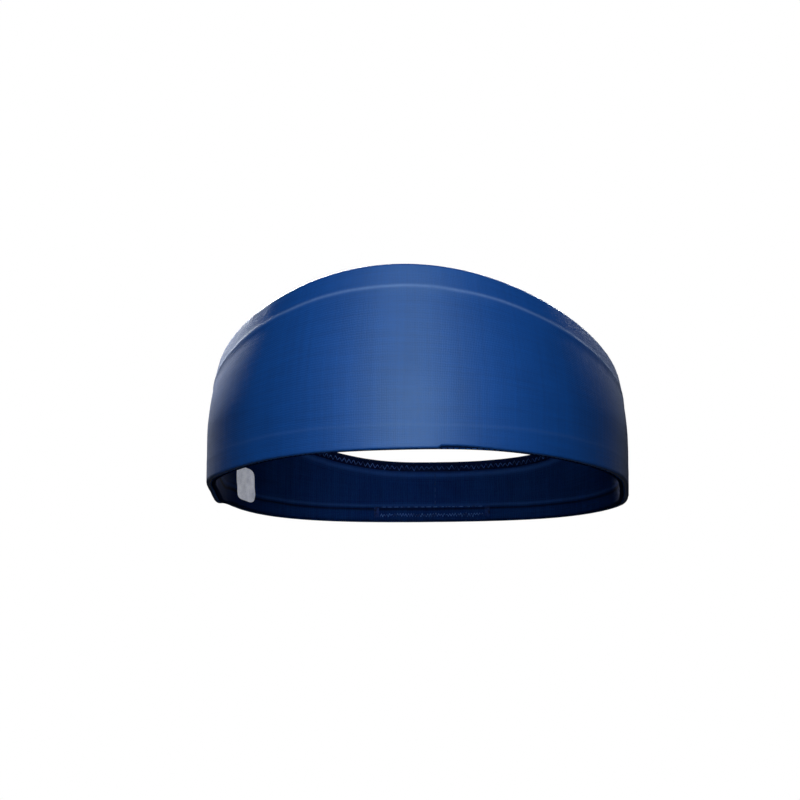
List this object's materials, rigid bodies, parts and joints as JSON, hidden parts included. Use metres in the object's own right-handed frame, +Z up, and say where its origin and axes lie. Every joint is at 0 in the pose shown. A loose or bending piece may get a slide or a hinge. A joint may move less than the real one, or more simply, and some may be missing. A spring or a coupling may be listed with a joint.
{
  "type": "sports headband",
  "caption": "Wide stretch headband sewn as a double-layer jersey tube, tall over the forehead and narrow at the nape, with turned-in edges and an elastic tape inside the top edge",
  "frame": {"origin": "middle of the band on the plane of its bottom edge", "axes": "-Y points out of the forehead and +Y out of the nape, +X to the wearer's left ear, +Z up toward the crown"},
  "size_m": [0.156, 0.1873, 0.068],
  "materials": {
    "outer_jersey": "fine matt polyester jersey, royal to navy blue, with a soft sheen at grazing angles",
    "lining_jersey": "same jersey turned to the head, matt navy blue",
    "elastic_tape": "narrow woven elastic tape, very dark navy",
    "sewing_thread": "spun polyester sewing thread, navy blue",
    "reflective_film": "silver grey heat-pressed reflective film"
  },
  "bodies": {
    "root": {"outer_panel": "outer_jersey", "lining_panel": "lining_jersey", "top_elastic_tape": "elastic_tape", "elastic_zigzag_stitching": "sewing_thread", "top_edge_seam_thread": "sewing_thread", "bottom_edge_seam_thread": "sewing_thread", "outer_back_seam_thread": "sewing_thread", "lining_back_seam_thread": "sewing_thread", "gap_closing_topstitch": "sewing_thread", "closing_bartacks": "sewing_thread", "elastic_join_bartack": "sewing_thread", "reflective_transfer": "reflective_film"}
  },
  "joints": []
}
